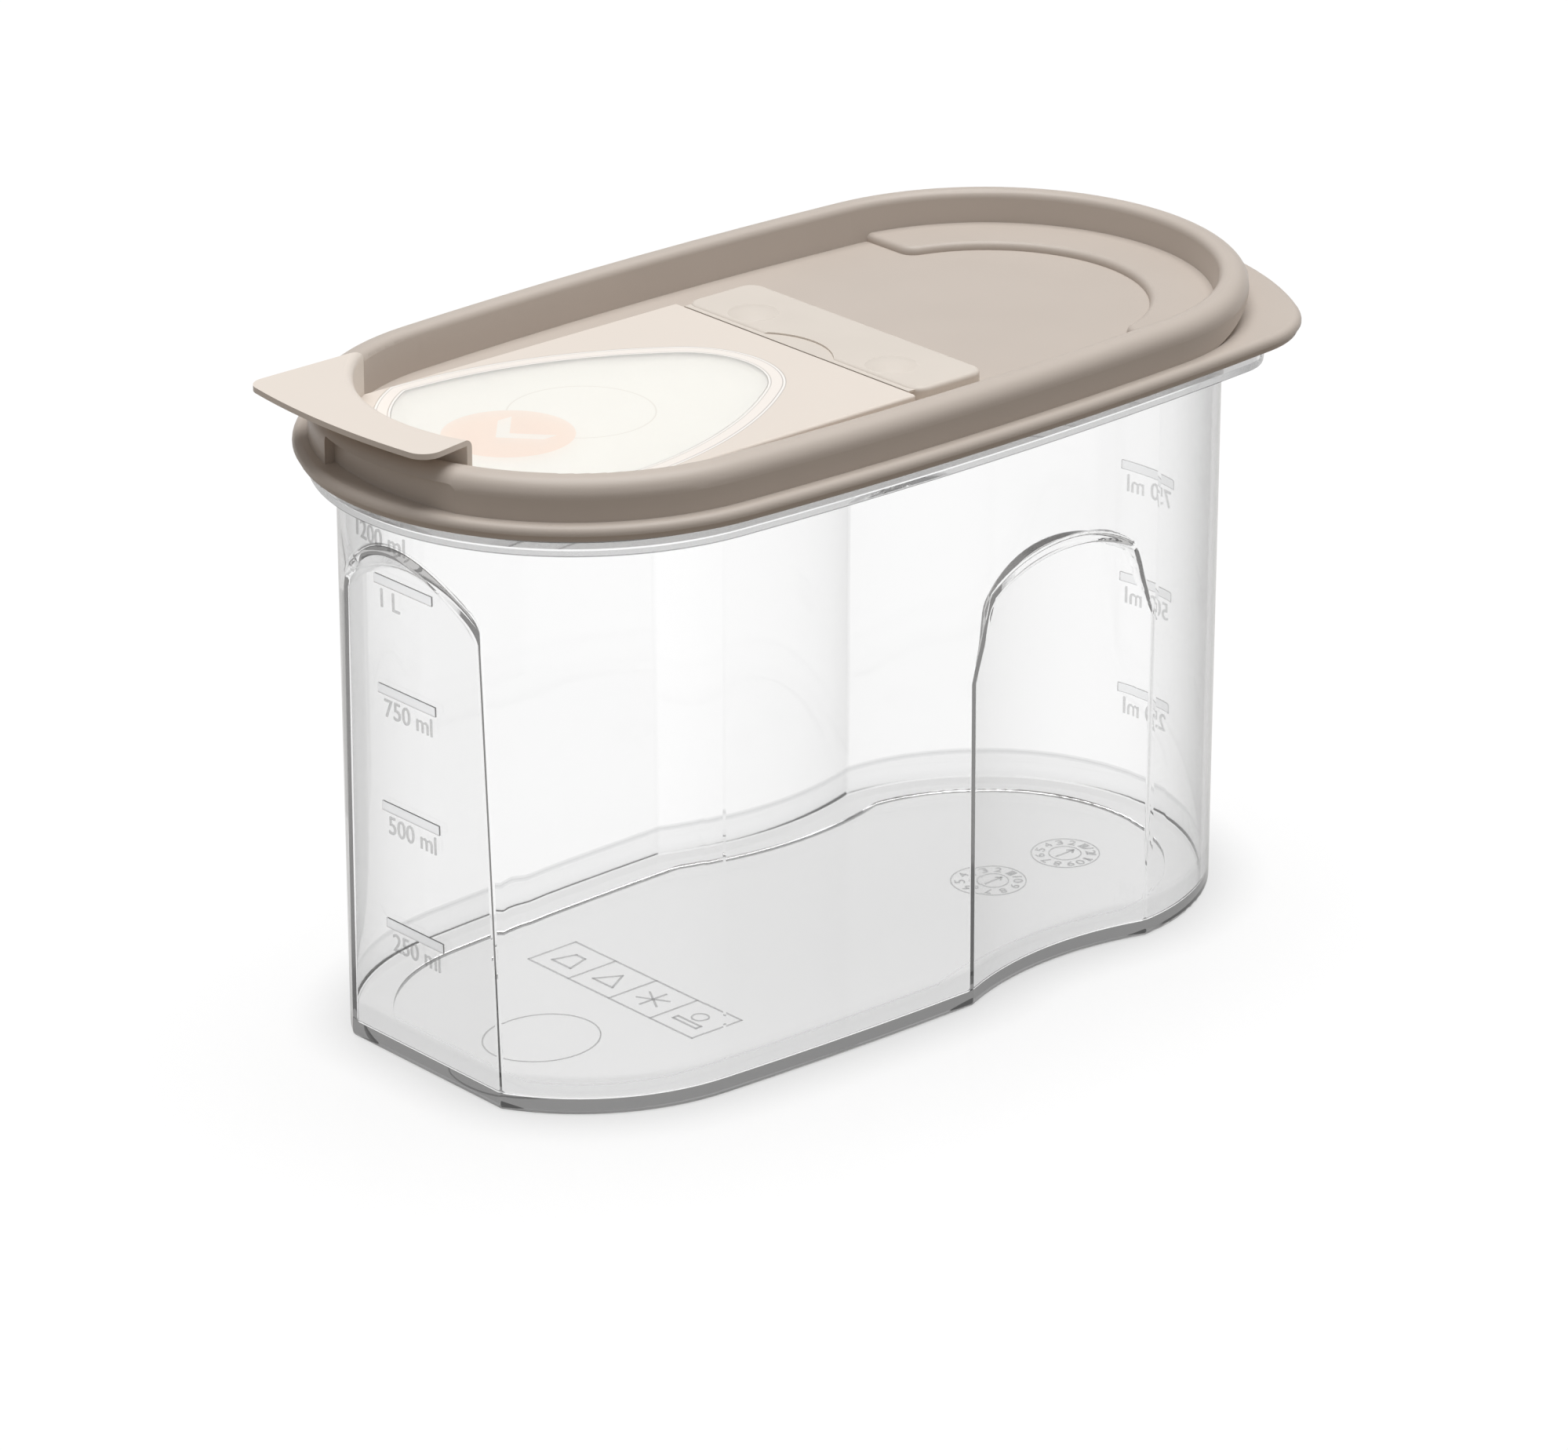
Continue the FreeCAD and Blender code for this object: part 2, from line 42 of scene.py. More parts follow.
# a node socket that takes Python maths
class Wire:
    def __init__(self, graph, socket):
        self.graph = graph
        self.socket = socket

    def math(self, operation, *values):
        return self.graph.node("ShaderNodeMath", {"operation": operation}, dict(enumerate(values)))

    def __add__(self, other):
        return self.math("ADD", self, other)

    def __radd__(self, other):
        return self.math("ADD", other, self)

    def __sub__(self, other):
        return self.math("SUBTRACT", self, other)

    def __rsub__(self, other):
        return self.math("SUBTRACT", other, self)

    def __mul__(self, other):
        return self.math("MULTIPLY", self, other)

    def __rmul__(self, other):
        return self.math("MULTIPLY", other, self)

    def __pow__(self, other):
        return self.math("POWER", self, other)

    def __lt__(self, other):
        return self.math("LESS_THAN", self, other)

    def __gt__(self, other):
        return self.math("GREATER_THAN", self, other)

    def __abs__(self):
        return self.math("ABSOLUTE", self)

    def most(self, other):
        return self.math("MAXIMUM", self, other)

    def least(self, other):
        return self.math("MINIMUM", self, other)


# the node tree of one material or world
class Graph:
    def __init__(self, owner):
        owner.use_nodes = True
        self.owner = owner
        self.tree = owner.node_tree
        self.tree.nodes.clear()

    def node(self, kind, settings=None, inputs=None, output=0):
        made = self.tree.nodes.new(kind)
        for name, value in (settings or {}).items():
            setattr(made, name, value)
        for name, value in (inputs or {}).items():
            if isinstance(value, Wire):
                self.tree.links.new(value.socket, made.inputs[name])
            else:
                made.inputs[name].default_value = value
        return Wire(self, made.outputs[output] if made.outputs else None)

    def split(self, vector):
        outputs = self.node("ShaderNodeSeparateXYZ", {}, {0: vector}).socket.node.outputs
        return [Wire(self, axis) for axis in outputs]

    def place(self):
        coords = self.node("ShaderNodeTexCoord", output="Object")
        return coords, [axis * (1 / mm) for axis in self.split(coords)]  # millimetres

    def noise(self, coords, scale, detail=3.0):
        return self.node("ShaderNodeTexNoise", {}, {"Vector": coords, "Scale": scale, "Detail": detail})

    def blend(self, factor, first, second):
        return self.node("ShaderNodeMix", {"data_type": "RGBA"}, {0: factor, 6: first, 7: second}, 2)

    def fade(self, value, start, end):
        return self.node("ShaderNodeMapRange", {"interpolation_type": "SMOOTHSTEP"},
                         {"Value": value, "From Min": start, "From Max": end})

    def bump(self, height, distance, strength):
        return self.node("ShaderNodeBump", {},
                         {"Height": height, "Distance": distance, "Strength": strength})

    def rays(self, *names):
        outputs = self.node("ShaderNodeLightPath").socket.node.outputs
        total = Wire(self, outputs[names[0]])
        for name in names[1:]:
            total = total.most(Wire(self, outputs[name]))
        return total

    def mix(self, factor, first, second):
        return self.node("ShaderNodeMixShader", {}, {0: factor, 1: first, 2: second})

    def finish(self, shader):
        self.node("ShaderNodeOutputMaterial", {}, {"Surface": shader})
        return self.owner


def newGraph(name):
    return Graph(bpy.data.materials.new(name))


# clear container, sizes in mm: frosted scale bars, painted grey shade on walls seen at a grazing angle,
# painted shade on the foot
# the "edge" colour is painted grey shade for walls seen at a grazing angle; "foot" is painted shade on the
# foot
wallLook = {"tint": colour(254, 254, 254), "edge": colour(138, 138, 138), "foot": colour(186, 187, 188),
            "frost": colour(236, 237, 238), "clear": colour(247, 247, 247), "dimmed": colour(212, 212, 212),
            "rough": 0.015, "cloudRough": 0.02, "frostRough": 0.3, "ior": 1.46, "cloudScale": 30.0,
            "edgePower": 2.0, "flatShare": 0.65, "footShare": 0.2, "lineShare": 0.6, "caughtDepth": 1.5,
            "endCentre": 47.3, "endRadius": 40.6, "endFlare": 0.3, "flareHeight": 104.1,
            "panelFace": 82.7, "panelDraft": math.tan(math.radians(1)), "farStart": 60.0,
            "panelBars": (89.5, 69.6, 48.0, 26.2), "farBars": (67.6, 45.8, 24.0), "barHeight": 1.7,
            "barReach": 7.6, "barShift": 1.4, "barMargin": 0.05, "panelProud": 0.15, "farProud": 0.2,
            "footTop": 6.9, "footBlur": 0.3, "footLine": (0.5, 0.2), "uprightFade": (0.95, 0.6),
            "rimUnder": 103.0, "rimUnderHalf": 0.45, "rimTilt": 0.3}


def endRadius(height):
    return wallLook["endRadius"] + wallLook["endFlare"] / wallLook["flareHeight"] * height


def panelDepth(height):
    return wallLook["panelFace"] + wallLook["panelDraft"] * height


def barMask(x, y, z):
    panelFront = -1 * (panelDepth(z) + wallLook["panelProud"]) > x
    outward = ((x - wallLook["endCentre"]) ** 2 + y ** 2) ** 0.5
    farFront = (outward > endRadius(z) + wallLook["farProud"]) * (x > wallLook["farStart"])
    half = wallLook["barHeight"] / 2
    bars = 0.0
    for tops, front, shift in ((wallLook["panelBars"], panelFront, wallLook["barShift"]),
                               (wallLook["farBars"], farFront, 0.0)):
        across = abs(y - shift) < wallLook["barReach"] + wallLook["barMargin"]
        for top in tops:
            bars = bars + front * across * (abs(z - (top - half)) < half + wallLook["barMargin"])
    return bars


# painted shade on the foot: a grey band on upright faces below the foot's top, and a grey line along its top
# on the inside
def footShadeMask(graph, x, y, z, normal):
    turnX, turnY, turnZ = normal
    centre = wallLook["endCentre"]
    coreX = x.most(-centre).least(centre)
    inside = ((x - coreX) * turnX + y * turnY) < 0
    upright = graph.fade(abs(turnZ), *wallLook["uprightFade"])
    top, blur = wallLook["footTop"], wallLook["footBlur"]
    band = upright * graph.fade(z, top + blur, top - blur) * wallLook["footShare"]
    line = upright * inside * graph.fade(abs(z - top), *wallLook["footLine"]) * wallLook["lineShare"]
    return band.most(line)


def clearPlastic():
    graph = newGraph("clearWall")
    coords, (x, y, z) = graph.place()
    normal = graph.split(graph.node("ShaderNodeTexCoord", output="Normal"))
    level = abs(normal[2])
    bars = barMask(x, y, z)
    clouds = graph.noise(coords, wallLook["cloudScale"])
    facing = graph.node("ShaderNodeLayerWeight", output="Facing")
    # painted shade: walls seen at a grazing angle are tinted towards the grey "edge" colour, less on level
    # faces
    grazingShadeShare = facing ** wallLook["edgePower"] * (1 - wallLook["flatShare"] * level)
    shade = graph.blend(grazingShadeShare, wallLook["tint"], wallLook["edge"])
    # painted shade on the foot, in the grey "foot" colour
    shade = graph.blend(footShadeMask(graph, x, y, z, normal), shade, wallLook["foot"])
    shade = graph.blend(bars, shade, wallLook["frost"])
    glass = graph.node("ShaderNodeBsdfPrincipled", {}, {
        "Base Color": shade, "IOR": wallLook["ior"], "Transmission Weight": 1.0,
        "Roughness": wallLook["rough"] + wallLook["cloudRough"] * clouds + wallLook["frostRough"] * bars})
    clear = graph.node("ShaderNodeBsdfTransparent", {}, {"Color": wallLook["clear"]})
    dimmed = graph.node("ShaderNodeBsdfTransparent", {}, {"Color": wallLook["dimmed"]})
    shader = graph.mix(graph.rays("Is Shadow Ray"), glass, clear)
    # light caught inside a wall goes straight out as grey; the rim's underside is painted grey shade, where
    # light also goes straight out dimmed
    caught = graph.rays("Glossy Depth") > wallLook["caughtDepth"]
    rimUndersideShade = (abs(z - wallLook["rimUnder"]) < wallLook["rimUnderHalf"]) * (level > wallLook["rimTilt"])
    return graph.finish(graph.mix(caught.most(rimUndersideShade), shader, dimmed))


# satin taupe lid
lidLook = {"base": colour(209, 198, 188), "darker": colour(203, 192, 182), "rough": 0.27, "cloudRough": 0.10,
           "grainRough": 0.05, "ior": 1.46, "gloss": 0.25, "cloudScale": 45.0, "grainScale": 2600.0,
           "grainDetail": 2.0, "grainDepth": 0.02, "grainStrength": 0.5}


def satinPlastic():
    graph = newGraph("taupeSatin")
    coords, _ = graph.place()
    clouds = graph.noise(coords, lidLook["cloudScale"])
    grain = graph.noise(coords, lidLook["grainScale"], lidLook["grainDetail"])
    shader = graph.node("ShaderNodeBsdfPrincipled", {}, {
        "Base Color": graph.blend(clouds, lidLook["darker"], lidLook["base"]),
        "Roughness": lidLook["rough"] + lidLook["cloudRough"] * clouds + lidLook["grainRough"] * grain,
        "IOR": lidLook["ior"], "Specular IOR Level": lidLook["gloss"],
        "Normal": graph.bump(grain, lidLook["grainDepth"] * mm, lidLook["grainStrength"])})
    return graph.finish(shader)


# milky flap, sizes in mm: window over the pour opening, its whiter colour partly painted light, border ribs
# with painted highlight lines, printed disc, painted shade of a shallow circular groove
flapLook = {"plate": colour(236, 226, 216), "window": colour(250, 249, 245), "line": colour(255, 251, 246),
            "band": colour(250, 243, 236), "disc": colour(250, 238, 229), "grooveShadeRing": colour(206, 198, 190),
            "lampTint": (0.7, 0.69, 0.67, 1), "plateRough": 0.30, "windowRough": 0.5, "cloudRough": 0.1,
            "plateIor": 1.46, "windowIor": 1.3, "gloss": 0.2, "through": 0.45, "circleShare": 0.3,
            "cloudScale": 60.0, "grainScale": 2400.0, "grainDetail": 2.0, "grainShare": 0.02,
            "lineDepth": 0.3, "lineStrength": 0.8, "lineBlur": (0.12, 0.4), "windowBlur": 0.15,
            "edgeBlur": 0.1, "nose": (-24.4, 17.5), "side": (-63.0, 51.3, 81.7), "end": (-47.3, 34.2),
            "endReach": 8.0, "border": 2.5, "discX": -62.5, "discRadius": 11.3,
            "circleX": -46.6, "circleRadius": 12.6, "circleBlur": (0.05, 0.22),
            "chevronSlope": 0.9, "chevronShift": 1.2, "chevronHalf": 1.5, "chevronReach": 6.0}


def flapOutline(x, aside, away):
    # distance outside the bullet-shaped border: round nose, bowed sides, round end under the lip
    noseX, noseRadius = flapLook["nose"]
    sideX, sideShift, sideRadius = flapLook["side"]
    endX, endRound = flapLook["end"]
    nose = away(noseX, aside, noseRadius)
    side = away(sideX, aside + sideShift, sideRadius)
    end = away(endX, aside, endRound)
    onNose = (noseX - sideX) * aside < sideShift * (x - noseX)  # past the line through both centres
    edge = side + onNose * (nose - side)
    return edge + (x < sideX + flapLook["endReach"]) * (edge.most(end) - edge)


def milkyFlap():
    graph = newGraph("milkyFlap")
    coords, (x, y, _) = graph.place()
    aside = abs(y)

    def away(centre, sideways, radius):
        return ((x - centre) ** 2 + sideways ** 2) ** 0.5 - radius

    edge = flapOutline(x, aside, away)
    border, windowBlur, edgeBlur = flapLook["border"], flapLook["windowBlur"], flapLook["edgeBlur"]
    window = graph.fade(edge, -border + windowBlur, -border - windowBlur)
    # raised border ribs; the same mask paints their highlight in the bright "line" colour
    ribLinesAndHighlight = 1 - graph.fade(abs(abs(edge + border / 2) - border / 2), *flapLook["lineBlur"])
    band = graph.fade(edge, edgeBlur, -edgeBlur)
    clouds = graph.noise(coords, flapLook["cloudScale"])
    grain = graph.noise(coords, flapLook["grainScale"], flapLook["grainDetail"])

    inDisc = graph.fade(away(flapLook["discX"], y, flapLook["discRadius"]), edgeBlur, -edgeBlur)
    bent = aside * flapLook["chevronSlope"] - (x - flapLook["discX"]) - flapLook["chevronShift"]
    chevron = (abs(bent) < flapLook["chevronHalf"]) * (aside < flapLook["chevronReach"])  # points at the lip
    # painted shade of a shallow circular groove: a faint darker ring beside the disc
    grooveShadeRing = abs(away(flapLook["circleX"], y, flapLook["circleRadius"]))
    grooveShadeRing = 1 - graph.fade(grooveShadeRing, *flapLook["circleBlur"])

    relief = ribLinesAndHighlight + flapLook["grainShare"] * grain
    normal = graph.bump(relief, flapLook["lineDepth"] * mm, flapLook["lineStrength"])
    shade = graph.blend(band, flapLook["plate"], flapLook["band"])
    # painted highlight: the border lines are painted in the bright "line" colour
    plate = graph.node("ShaderNodeBsdfPrincipled", {}, {
        "Base Color": graph.blend(ribLinesAndHighlight, shade, flapLook["line"]), "IOR": flapLook["plateIor"],
        "Roughness": flapLook["plateRough"] + flapLook["cloudRough"] * clouds,
        "Specular IOR Level": flapLook["gloss"], "Normal": normal})
    # the window's whiter colour is partly its thinner milky sheet and partly painted light from the bright
    # container below
    shade = graph.blend(inDisc * (1 - chevron), flapLook["window"], flapLook["disc"])
    shade = graph.blend(grooveShadeRing * (1 - inDisc) * flapLook["circleShare"], shade, flapLook["grooveShadeRing"])
    sheet = graph.node("ShaderNodeBsdfPrincipled", {}, {
        "Base Color": shade, "IOR": flapLook["windowIor"], "Transmission Weight": flapLook["through"],
        "Roughness": flapLook["windowRough"] + flapLook["cloudRough"] * clouds,
        "Specular IOR Level": flapLook["gloss"], "Normal": normal})
    shader = graph.mix(window * (1 - ribLinesAndHighlight), plate, sheet)
    lampLight = graph.node("ShaderNodeBsdfTransparent", {}, {"Color": flapLook["lampTint"]})
    return graph.finish(graph.mix(graph.rays("Is Shadow Ray") * window, shader, lampLight))


# milky hinge strip, a little darker than the flap's plate
stripLook = {"base": colour(233, 224, 214), "darker": colour(229, 220, 210), "rough": 0.30,
             "cloudRough": 0.1, "ior": 1.46, "gloss": 0.2, "solid": 0.94, "cloudSolid": 0.03,
             "cloudScale": 60.0, "grainScale": 2400.0, "grainDetail": 2.0, "grainDepth": 0.02,
             "grainStrength": 0.4}


def milkyStrip():
    graph = newGraph("milkyStrip")
    coords, _ = graph.place()
    clouds = graph.noise(coords, stripLook["cloudScale"])
    grain = graph.noise(coords, stripLook["grainScale"], stripLook["grainDetail"])
    shader = graph.node("ShaderNodeBsdfPrincipled", {}, {
        "Base Color": graph.blend(clouds, stripLook["darker"], stripLook["base"]),
        "Roughness": stripLook["rough"] + stripLook["cloudRough"] * clouds,
        "IOR": stripLook["ior"], "Specular IOR Level": stripLook["gloss"],
        "Alpha": stripLook["solid"] + stripLook["cloudSolid"] * clouds,
        "Normal": graph.bump(grain, stripLook["grainDepth"] * mm, stripLook["grainStrength"])})
    return graph.finish(shader)


# moulded marks in the clear plastic
markLook = {"shade": colour(176, 178, 180), "darker": colour(158, 160, 162), "wallSolid": 0.17,
            "floorSolid": 0.26, "cloudSolid": 0.12, "rough": 0.35, "cloudRough": 0.1, "ior": 1.46,
            "cloudScale": 220.0}


def mouldedMark(name, solid):
    graph = newGraph(name)
    coords, _ = graph.place()
    clouds = graph.noise(coords, markLook["cloudScale"])
    shader = graph.node("ShaderNodeBsdfPrincipled", {}, {
        "Base Color": graph.blend(clouds, markLook["darker"], markLook["shade"]),
        "Roughness": markLook["rough"] + markLook["cloudRough"] * clouds, "IOR": markLook["ior"],
        "Alpha": solid + markLook["cloudSolid"] * clouds})
    return graph.finish(shader)


def setMaterial(nodeName, material):
    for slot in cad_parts[nodeName].material_slots:
        slot.material = material


setMaterial("container", clearPlastic())
setMaterial("lid", satinPlastic())
setMaterial("pour_flap", milkyFlap())
setMaterial("hinge_strip", milkyStrip())
wallMark = mouldedMark("wallMark", markLook["wallSolid"])
floorMark = mouldedMark("floorMark", markLook["floorSolid"])
print("materials done")


def addPiece(name, bm, material, body):
    bmesh.ops.recalc_face_normals(bm, faces=bm.faces)
    mesh = bpy.data.meshes.new(name)
    bm.to_mesh(mesh)
    bm.free()
    mesh.materials.append(material)
    piece = bpy.data.objects.new(name, mesh)
    bpy.context.scene.collection.objects.link(piece)
    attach(piece, body)


# letters of every mark, half of their thickness in mm
letters = {"halfThick": 0.12, "smoothness": 3}


def wordMesh(words, height, width):
    # foot of the first letter at the origin, x along the line, y up
    curve = bpy.data.curves.new("words", "FONT")
    curve.body = words
    curve.size = height
    curve.extrude = letters["halfThick"]
    curve.resolution_u = letters["smoothness"]
    writer = bpy.data.objects.new("words", curve)
    bpy.context.scene.collection.objects.link(writer)
    flat = bpy.data.meshes.new_from_object(writer.evaluated_get(bpy.context.evaluated_depsgraph_get()))
    bpy.data.objects.remove(writer)
    bpy.data.curves.remove(curve)
    xs = [vertex.co.x for vertex in flat.vertices]
    ys = [vertex.co.y for vertex in flat.vertices]
    stretch = width / (max(xs) - min(xs))
    grow = height / (max(ys) - min(ys))
    flat.transform(Matrix.Translation((-min(xs), -min(ys), 0)))
    flat.transform(Matrix.Diagonal((stretch, grow, 1, 1)))
    return flat


def addWords(bm, words, height, width, placing):
    flat = wordMesh(words, height, width)
    for vertex in flat.vertices:
        vertex.co = placing(vertex.co) * mm
    bm.from_mesh(flat)
    bpy.data.meshes.remove(flat)


# volume scale, in mm: numbers under the moulded bars
scale = {"height": 3.3, "gap": 0.8, "barLeft": 9.0, "indent": 1.4, "lift": 0.05,
         "panelWords": ("1 L", "750 ml", "500 ml", "250 ml"), "farWords": ("750 ml", "500 ml", "250 ml"),
         "widths": {"1 L": 5.0, "250 ml": 12.6, "500 ml": 12.6, "750 ml": 12.6, "1200 ml": 14.2},
         "brim": {"words": "1200 ml", "foot": 96.6, "start": math.radians(-14.5)}}


def footUnder(barTop):
    return barTop - wallLook["barHeight"] - scale["gap"] - scale["height"]


def roundWall(side, start, foot):
    # bends a line of letters round one end wall; start is the angle of its first letter
    def placing(spot):
        radius = endRadius(foot + spot.y)
        angle = start + spot.x / radius
        out = radius + scale["lift"] + spot.z
        along = wallLook["endCentre"] + out * math.cos(angle)
        return Vector((side * along, side * out * math.sin(angle), foot + spot.y))
    return placing


def flatPanel(foot):
    def placing(spot):
        height = foot + spot.y
        depth = panelDepth(height) + scale["lift"] + spot.z
        return Vector((-depth, scale["barLeft"] - scale["indent"] - spot.x, height))
    return placing


bm = bmesh.new()
for top, words in zip(wallLook["panelBars"], scale["panelWords"]):
    addWords(bm, words, scale["height"], scale["widths"][words], flatPanel(footUnder(top)))
brim = scale["brim"]
placing = roundWall(-1, brim["start"], brim["foot"])
addWords(bm, brim["words"], scale["height"], scale["widths"][brim["words"]], placing)
addPiece("panelScale", bm, wallMark, "container")

bm = bmesh.new()
for top, words in zip(wallLook["farBars"], scale["farWords"]):
    width = scale["widths"][words]
    start = -width / 2 / wallLook["endRadius"]
    addWords(bm, words, scale["height"], width, roundWall(1, start, footUnder(top)))
addPiece("farScale", bm, wallMark, "container")
print("scale done")


# marks moulded into the floor, read from below, in mm; a sign's corners are offsets from its cell's middle
floorMarks = {"low": 0.25, "rise": 0.25, "line": 0.35, "signLine": 0.4, "ovalLine": 0.25, "dialLine": 0.2,
              "strip": {"near": -41.0, "far": -30.0, "left": 23.0, "right": -21.0, "cells": 4},
              "cup": ((-2.5, -2.5), (-2.5, 2.5), (2.0, 1.2), (2.0, -1.2)),
              "triangle": ((-2.2, -2.6), (-2.2, 2.6), (2.4, 0)),
              "shelf": ((-2.4, -3.0), (-2.4, 3.0), (-1.2, 3.0), (-1.2, -3.0)),
              "ball": {"up": 1.2, "radius": 1.6, "line": 0.3, "sides": 24}, "starReach": 3.0, "starArms": 3,
              "oval": {"centre": (-60.0, -4.0), "reach": (10.5, 9.3), "sides": 64},
              "dials": ((61.3, -5.3, 6.6, 12), (42.5, -5.2, 6.6, 10)),
              "dialSides": (48, 32), "innerShare": 0.48, "digitShare": 0.74, "digit": 1.9, "digitWidth": 1.4,
              "arrow": {"half": 2.2, "back": 0.9, "aside": 0.7, "line": 0.35}}


def addBar(bm, first, second, width):
    first, second = Vector((*first, 0)), Vector((*second, 0))
    along = second - first
    turn = Matrix.Rotation(math.atan2(along.y, along.x), 4, "Z")
    middle = (first + second) / 2
    size = Matrix.Diagonal((along.length + width, width, floorMarks["rise"], 1))
    place = Matrix.Translation((middle.x, middle.y, floorMarks["low"] + floorMarks["rise"] / 2))
    bmesh.ops.create_cube(bm, size=1.0, matrix=Matrix.Scale(mm, 4) @ place @ turn @ size)


def addOutline(bm, centre, corners, width):
    spots = [(centre[0] + x, centre[1] + y) for x, y in corners]
    for first, second in zip(spots, spots[1:] + spots[:1]):
        addBar(bm, first, second, width)


def addRing(bm, centre, reachX, reachY, width, sides):
    made = bmesh.ops.create_circle(bm, cap_ends=False, radius=1.0, segments=sides)
    edges = list({edge for vertex in made["verts"] for edge in vertex.link_edges})
    middle = Vector((centre[0], centre[1], 0)) * mm
    for vertex in made["verts"]:
        vertex.co = middle + Vector((vertex.co.x * reachX, vertex.co.y * reachY, floorMarks["low"])) * mm
    wide = bmesh.ops.extrude_edge_only(bm, edges=edges)["geom"]
    for vertex in [item for item in wide if isinstance(item, bmesh.types.BMVert)]:
        out = vertex.co - middle
        out.z = 0
        vertex.co -= out.normalized() * width * mm
    faces = [item for item in wide if isinstance(item, bmesh.types.BMFace)]
    raised = bmesh.ops.extrude_face_region(bm, geom=faces)["geom"]
    lift = [item for item in raised if isinstance(item, bmesh.types.BMVert)]
    bmesh.ops.translate(bm, verts=lift, vec=(0, 0, floorMarks["rise"] * mm))


def dialDigit(x, y, radius, angle, count):
    # turned round the dial, mirrored so that it reads from below
    def placing(spot):
        across = -(spot.x - count * floorMarks["digitWidth"] / 2)
        along = radius * floorMarks["digitShare"] - floorMarks["digit"] / 2 + spot.y
        return Vector((x + along * math.cos(angle) - across * math.sin(angle),
                       y + along * math.sin(angle) + across * math.cos(angle),
                       floorMarks["low"] + letters["halfThick"] + spot.z))
    return placing


def addDial(bm, x, y, radius, count):
    inner = radius * floorMarks["innerShare"]
    for reach, sides in zip((radius, inner), floorMarks["dialSides"]):
        addRing(bm, (x, y), reach, reach, floorMarks["dialLine"], sides)
    for step in range(count):
        words = str(step + 1)
        placing = dialDigit(x, y, radius, 2 * math.pi * step / count, len(words))
        addWords(bm, words, floorMarks["digit"], len(words) * floorMarks["digitWidth"], placing)
    arrow = floorMarks["arrow"]
    tip = (x + arrow["half"], y)
    for aside in (-arrow["aside"], arrow["aside"]):
        addBar(bm, tip, (tip[0] - arrow["back"], y + aside), arrow["line"])
    addBar(bm, (x - arrow["half"], y), tip, arrow["line"])


def addStar(bm, centre):
    for arm in range(floorMarks["starArms"]):
        angle = math.pi * arm / floorMarks["starArms"]
        reachX = floorMarks["starReach"] * math.cos(angle)
        reachY = floorMarks["starReach"] * math.sin(angle)
        addBar(bm, (centre[0] - reachX, centre[1] - reachY), (centre[0] + reachX, centre[1] + reachY),
               floorMarks["signLine"])


# a row of four cells with plain signs: cup, triangle, star of bars, ball on a shelf
def addSigns(bm):
    strip = floorMarks["strip"]
    cell = (strip["left"] - strip["right"]) / strip["cells"]
    for x in (strip["near"], strip["far"]):
        addBar(bm, (x, strip["left"]), (x, strip["right"]), floorMarks["line"])
    for count in range(strip["cells"] + 1):
        y = strip["left"] - count * cell
        addBar(bm, (strip["near"], y), (strip["far"], y), floorMarks["line"])
    middleX = (strip["near"] + strip["far"]) / 2
    middles = [(middleX, strip["left"] - (count + 0.5) * cell) for count in range(strip["cells"])]
    cup, triangle, star, shelf = middles
    addOutline(bm, cup, floorMarks["cup"], floorMarks["signLine"])
    addOutline(bm, triangle, floorMarks["triangle"], floorMarks["signLine"])
    addStar(bm, star)
    ball = floorMarks["ball"]
    ballMiddle = (shelf[0] + ball["up"], shelf[1])
    addRing(bm, ballMiddle, ball["radius"], ball["radius"], ball["line"], ball["sides"])
    addOutline(bm, shelf, floorMarks["shelf"], floorMarks["signLine"])


bm = bmesh.new()
addSigns(bm)
oval = floorMarks["oval"]
addRing(bm, oval["centre"], *oval["reach"], floorMarks["ovalLine"], oval["sides"])
for dial in floorMarks["dials"]:
    addDial(bm, *dial)
addPiece("floorMarks", bm, floorMark, "container")
print("floor marks done")


# studio: white floor that keeps part of the shadow, with a painted contact shadow in its glow, soft sun
# overhead, dim sky; lengths in metres
studio = {"sun": 2.55, "spread": 50, "lean": (-4, 8), "sky": 0.27, "skyThrough": 0.4,
          "skyFade": (0.02, 0.25), "bounce": (0.27, 0.232, 0.195, 1), "pale": (0.94, 0.94, 0.94, 1),
          "paleRough": 0.15, "glow": 1.06, "shadow": 0.22, "shadowThrough": 0.08, "contactShadow": 0.4,
          "contactThrough": 0.04, "contactSamples": 8, "reach": 0.012, "mirrored": 0.75, "half": 8.0,
          "drop": 0.0001}


def floorWhite():
    graph = newGraph("floorWhite")
    seen = graph.rays("Is Camera Ray", "Is Transmission Ray")
    seen = seen.most(studio["mirrored"] * graph.rays("Is Glossy Ray"))
    through = graph.rays("Is Transmission Ray")
    bounce = graph.node("ShaderNodeBsdfDiffuse", {}, {"Color": studio["bounce"]})
    pale = graph.node("ShaderNodeBsdfPrincipled", {}, {
        "Base Color": studio["pale"], "Roughness": studio["paleRough"]})
    # painted contact shadow: the floor's glow is darkened where the ambient-occlusion node finds things
    # close by
    free = graph.node("ShaderNodeAmbientOcclusion", {"samples": studio["contactSamples"]},
                      {"Distance": studio["reach"]}, "AO")
    contactShadow = studio["contactShadow"] + (studio["contactThrough"] - studio["contactShadow"]) * through
    shadow = studio["shadow"] + (studio["shadowThrough"] - studio["shadow"]) * through
    glowWithContactShadow = graph.blend(contactShadow * (1 - free), (1, 1, 1, 1), (0, 0, 0, 1))
    glow = graph.node("ShaderNodeEmission", {}, {"Color": glowWithContactShadow, "Strength": studio["glow"]})
    return graph.finish(graph.mix(seen, bounce, graph.mix(shadow, glow, pale)))


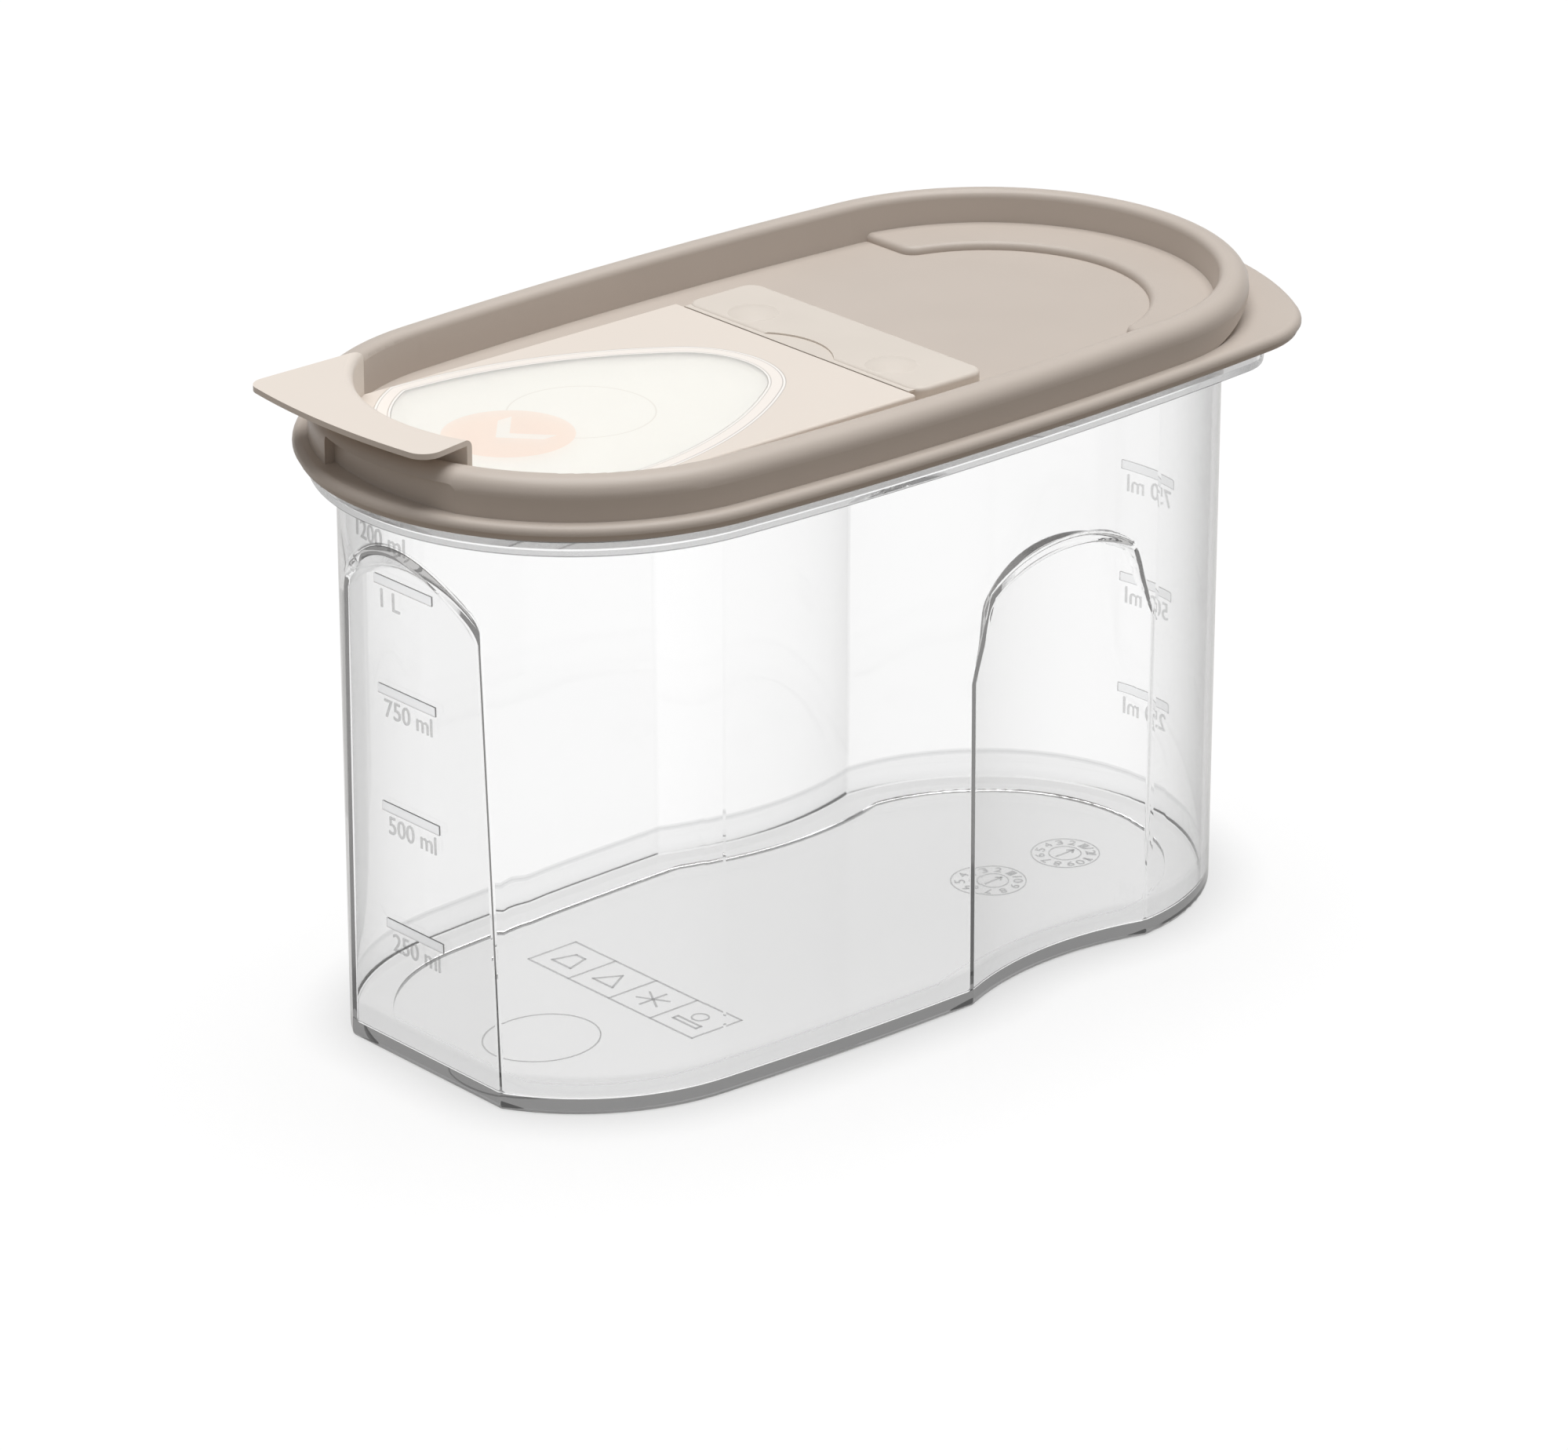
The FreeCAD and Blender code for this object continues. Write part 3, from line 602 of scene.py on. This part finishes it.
def makeFloor():
    bm = bmesh.new()
    lower = Matrix.Translation((0, 0, -studio["drop"]))
    bmesh.ops.create_grid(bm, x_segments=2, y_segments=2, size=studio["half"], matrix=lower)
    mesh = bpy.data.meshes.new("floor")
    bm.to_mesh(mesh)
    bm.free()
    mesh.materials.append(floorWhite())
    floor = bpy.data.objects.new("floor", mesh)
    bpy.context.scene.collection.objects.link(floor)


def makeLight():
    sun = bpy.data.lights.new("topSun", "SUN")
    sun.energy = studio["sun"]
    sun.angle = math.radians(studio["spread"])
    lamp = bpy.data.objects.new("topSun", sun)
    leanX, leanY = studio["lean"]
    lamp.rotation_euler = (math.radians(leanX), math.radians(leanY), 0)
    bpy.context.scene.collection.objects.link(lamp)

    world = bpy.data.worlds.new("studioSky")
    graph = Graph(world)
    seen = graph.rays("Is Camera Ray", "Is Transmission Ray")
    up = graph.split(graph.node("ShaderNodeTexCoord"))[2]
    through = 1 - (1 - studio["skyThrough"]) * graph.fade(up, *studio["skyFade"])
    level = studio["sky"] + (through - studio["sky"]) * seen
    sky = graph.node("ShaderNodeBackground", {}, {"Color": (1, 1, 1, 1), "Strength": level})
    graph.node("ShaderNodeOutputWorld", {}, {"Surface": sky})
    bpy.context.scene.world = world


# the photograph's viewing angle; its frame is 1999 pixels wide
photo = {"focalPixels": 9541.66, "widthPixels": 1999, "sensor": 36.0, "place": (-0.8033, -0.9069, 0.5453),
         "down": 22.583, "turn": -41.493, "farthest": 50.0}


def makeCamera():
    data = bpy.data.cameras.new("photoCamera")
    data.sensor_fit = "HORIZONTAL"
    data.sensor_width = photo["sensor"]
    data.lens = photo["sensor"] * photo["focalPixels"] / photo["widthPixels"]
    data.clip_end = photo["farthest"]
    camera = bpy.data.objects.new("photoCamera", data)
    camera.location = photo["place"]
    camera.rotation_euler = (math.radians(90 - photo["down"]), 0, math.radians(photo["turn"]))
    bpy.context.scene.collection.objects.link(camera)
    bpy.context.scene.camera = camera


makeFloor()
makeLight()
makeCamera()
bpy.context.scene.view_settings.view_transform = "Standard"
bpy.context.scene.cycles.transparent_max_bounces = 32
bpy.context.scene.cycles.transmission_bounces = 24
bpy.context.scene.cycles.max_bounces = 24
print("studio done")
